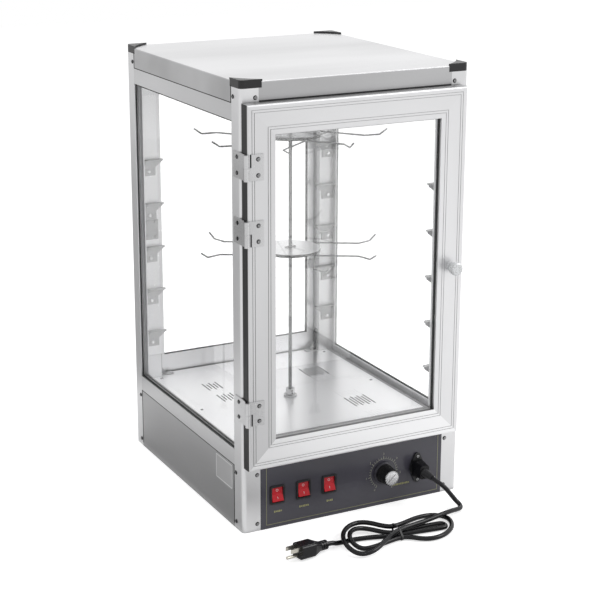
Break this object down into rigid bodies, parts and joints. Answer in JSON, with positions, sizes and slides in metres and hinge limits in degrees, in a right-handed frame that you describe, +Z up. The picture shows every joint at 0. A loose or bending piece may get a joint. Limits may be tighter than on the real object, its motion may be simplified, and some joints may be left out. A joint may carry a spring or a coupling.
{
  "type": "rotating display warmer",
  "caption": "Countertop glass display warmer with a hinged front door, a rotating rod with hooked discs, rocker switches and a dial.",
  "frame": {"origin": "on the counter, under the axis of the rotor, at the middle of the cabinet's footprint", "axes": "+Z up, the door and controls face -Y, +X to the right as seen from the front"},
  "size_m": [0.3964, 0.6029, 0.7085],
  "materials": {
    "sheet_steel": "satin",
    "door_metal": "satin",
    "panel_enamel": "satin",
    "black_plastic": "matte",
    "clear_glass": "polished",
    "black_rubber": "matte",
    "bright_metal": "polished",
    "bearing_plastic": "matte",
    "motor_enamel": "satin",
    "heater_steel": "matte",
    "white_plastic": "matte",
    "lamp_glass": "frosted",
    "gloss_black": "gloss",
    "red_plastic": "gloss",
    "pin_brass": "satin",
    "cap_aluminium": "satin",
    "cord_rubber": "satin"
  },
  "bodies": {
    "cabinet": {"front_posts": "sheet_steel", "rear_posts": "sheet_steel", "base_pan": "sheet_steel", "base_rear_panel": "sheet_steel", "base_side_panels": "sheet_steel", "lower_rails": "sheet_steel", "upper_rails": "sheet_steel", "front_rails": "sheet_steel", "rear_frame": "sheet_steel", "lid": "sheet_steel", "floor_plate": "sheet_steel", "ceiling_plate": "sheet_steel", "shelf_brackets_left": "sheet_steel", "shelf_brackets_right": "sheet_steel", "floor_brackets": "sheet_steel", "catch_plate": "sheet_steel", "hinge_cabinet_leaves": "sheet_steel", "motor_bracket": "sheet_steel", "heater_clips": "sheet_steel", "control_panel": "panel_enamel", "corner_caps": "black_plastic", "side_glass": "clear_glass", "rear_glass": "clear_glass", "glass_gaskets": "black_rubber", "frame_screws": "bright_metal", "rotor_bearings": "bearing_plastic", "gear_motor": "motor_enamel", "heater_element": "heater_steel", "lamp_holder": "white_plastic", "lamp_bulb": "lamp_glass", "switch_housings": "gloss_black", "thermostat_body": "black_plastic", "inlet_socket": "black_plastic", "inlet_pins": "pin_brass", "cord_connector": "cord_rubber", "cord_run": "cord_rubber", "cord_hank": "cord_rubber", "hank_tie": "black_plastic", "cord_plug": "cord_rubber", "plug_blades": "pin_brass"},
    "door": {"door_left_stile": "door_metal", "door_right_stile": "door_metal", "door_bottom_rail": "door_metal", "door_top_rail": "door_metal", "door_glass": "clear_glass", "door_gasket": "black_rubber", "door_knob": "bright_metal", "hinge_door_leaves": "sheet_steel", "door_screws": "bright_metal"},
    "rotor": {"rotor_rod": "bright_metal", "rotor_discs": "bright_metal", "rotor_hooks": "bright_metal", "rod_collar": "bright_metal", "shaft_coupling": "bright_metal"},
    "rocker_left": {"rocker_left": "red_plastic"},
    "rocker_middle": {"rocker_middle": "red_plastic"},
    "rocker_right": {"rocker_right": "red_plastic"},
    "dial": {"dial_shaft": "pin_brass", "dial_knob": "black_plastic", "dial_cap": "cap_aluminium"}
  },
  "joints": [
    {"name": "door_hinge", "type": "hinge", "parent": "cabinet", "child": "door", "pos_m": [-0.1962, -0.2416, 0.393], "axis": [0, 0, 1], "range_deg": [-240, 0]},
    {"name": "rotor_spin", "type": "hinge", "parent": "cabinet", "child": "rotor", "pos_m": [0, 0, 0.38], "axis": [0, 0, 1], "continuous": true},
    {"name": "rocker_left_tilt", "type": "hinge", "parent": "cabinet", "child": "rocker_left", "pos_m": [-0.136, -0.217, 0.055], "axis": [1, 0, 0], "range_deg": [0, 28]},
    {"name": "rocker_middle_tilt", "type": "hinge", "parent": "cabinet", "child": "rocker_middle", "pos_m": [-0.09, -0.217, 0.055], "axis": [1, 0, 0], "range_deg": [0, 28]},
    {"name": "rocker_right_tilt", "type": "hinge", "parent": "cabinet", "child": "rocker_right", "pos_m": [-0.044, -0.217, 0.055], "axis": [1, 0, 0], "range_deg": [0, 28]},
    {"name": "dial_turn", "type": "hinge", "parent": "cabinet", "child": "dial", "pos_m": [0.056, -0.22, 0.055], "axis": [0, 1, 0], "range_deg": [0, 300]}
  ]
}
